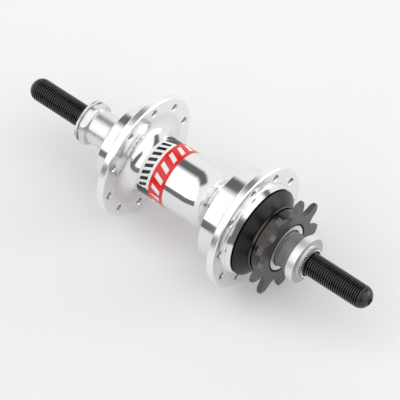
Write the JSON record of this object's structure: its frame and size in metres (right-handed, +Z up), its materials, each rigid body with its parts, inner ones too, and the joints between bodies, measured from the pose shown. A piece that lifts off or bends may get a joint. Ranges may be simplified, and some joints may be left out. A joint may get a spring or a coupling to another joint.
{
  "type": "single-speed bicycle rear hub",
  "caption": "High-flange rear wheel hub with a threaded axle, sealed bearings, and a small one-piece cog and driver that turns the shell through sprung pawls.",
  "frame": {"origin": "on the axle's centre line, midway between the two locknut faces that clamp in the frame", "axes": "+Y along the axle towards the non-drive side, the cog at -Y, +X forwards, +Z up"},
  "size_m": [0.055, 0.1749, 0.055],
  "materials": {
    "black_steel": "black oxide, glossy",
    "zinc_steel": "bright zinc plate, turned",
    "spacer_steel": "dark, turned",
    "sleeve_aluminium": "turned",
    "polished_aluminium": "mirror polished",
    "label_film": "printed film",
    "hardened_steel": "hardened, greased",
    "driver_steel": "dark phosphate",
    "black_anodised": "black anodised, satin",
    "spring_steel": "bright spring strip",
    "bearing_steel": "ground",
    "ball_steel": "polished",
    "seal_rubber": "moulded",
    "cage_plastic": "moulded"
  },
  "bodies": {
    "axle": {"axle": "black_steel", "left_locknut": "zinc_steel", "right_locknut": "zinc_steel", "left_spacer": "spacer_steel", "right_spacer": "spacer_steel", "centre_sleeve": "sleeve_aluminium", "clutch_washer": "sleeve_aluminium", "driver_sleeve": "sleeve_aluminium", "left_bearing_inner_race": "bearing_steel", "right_bearing_inner_race": "bearing_steel", "carrier_bearing_inner_race": "bearing_steel", "cog_bearing_inner_race": "bearing_steel"},
    "shell": {"hub_shell": "polished_aluminium", "label": "label_film", "ratchet_ring": "hardened_steel", "left_bearing_outer_race": "bearing_steel", "left_bearing_shields": "seal_rubber", "right_bearing_outer_race": "bearing_steel", "right_bearing_shields": "seal_rubber"},
    "driver": {"driver": "driver_steel", "dust_cap": "black_anodised", "pawl_spring_1": "spring_steel", "pawl_spring_2": "spring_steel", "pawl_spring_3": "spring_steel", "carrier_bearing_outer_race": "bearing_steel", "carrier_bearing_shields": "seal_rubber", "cog_bearing_outer_race": "bearing_steel", "cog_bearing_shields": "seal_rubber"},
    "pawl_1": {"pawl_1": "hardened_steel"},
    "pawl_2": {"pawl_2": "hardened_steel"},
    "pawl_3": {"pawl_3": "hardened_steel"},
    "left_bearing_set": {"left_bearing_balls": "ball_steel", "left_bearing_cage": "cage_plastic"},
    "right_bearing_set": {"right_bearing_balls": "ball_steel", "right_bearing_cage": "cage_plastic"},
    "carrier_bearing_set": {"carrier_bearing_balls": "ball_steel", "carrier_bearing_cage": "cage_plastic"},
    "cog_bearing_set": {"cog_bearing_balls": "ball_steel", "cog_bearing_cage": "cage_plastic"}
  },
  "joints": [
    {"name": "shell_spin", "type": "hinge", "parent": "axle", "child": "shell", "pos_m": [0, 0, 0], "axis": [0, 1, 0], "continuous": true},
    {"name": "driver_spin", "type": "hinge", "parent": "axle", "child": "driver", "pos_m": [0, 0, 0], "axis": [0, 1, 0], "continuous": true},
    {"name": "left_bearing_roll", "type": "hinge", "parent": "axle", "child": "left_bearing_set", "pos_m": [0, 0, 0], "axis": [0, 1, 0], "continuous": true},
    {"name": "right_bearing_roll", "type": "hinge", "parent": "axle", "child": "right_bearing_set", "pos_m": [0, 0, 0], "axis": [0, 1, 0], "continuous": true},
    {"name": "carrier_bearing_roll", "type": "hinge", "parent": "axle", "child": "carrier_bearing_set", "pos_m": [0, 0, 0], "axis": [0, 1, 0], "continuous": true},
    {"name": "cog_bearing_roll", "type": "hinge", "parent": "axle", "child": "cog_bearing_set", "pos_m": [0, 0, 0], "axis": [0, 1, 0], "continuous": true},
    {"name": "pawl_1_pivot", "type": "hinge", "parent": "driver", "child": "pawl_1", "pos_m": [0.0129, -0.03035, 0], "axis": [0, -1, 0], "range_deg": [0, 10.5], "stiffness_Nm_per_rad": 0.001, "springref_deg": 20.05, "deforming": ["pawl_spring_1"]},
    {"name": "pawl_2_pivot", "type": "hinge", "parent": "driver", "child": "pawl_2", "pos_m": [-0.00645, -0.03035, 0.01117], "axis": [0, -1, 0], "range_deg": [0, 10.5], "stiffness_Nm_per_rad": 0.001, "springref_deg": 20.05, "deforming": ["pawl_spring_2"]},
    {"name": "pawl_3_pivot", "type": "hinge", "parent": "driver", "child": "pawl_3", "pos_m": [-0.00645, -0.03035, -0.01117], "axis": [0, -1, 0], "range_deg": [0, 10.5], "stiffness_Nm_per_rad": 0.001, "springref_deg": 20.05, "deforming": ["pawl_spring_3"]}
  ],
  "couplings": [
    {"joint": "left_bearing_roll", "follows": "shell_spin", "ratio": 0.6322},
    {"joint": "right_bearing_roll", "follows": "shell_spin", "ratio": 0.6322},
    {"joint": "carrier_bearing_roll", "follows": "driver_spin", "ratio": 0.5821},
    {"joint": "cog_bearing_roll", "follows": "driver_spin", "ratio": 0.5992}
  ]
}
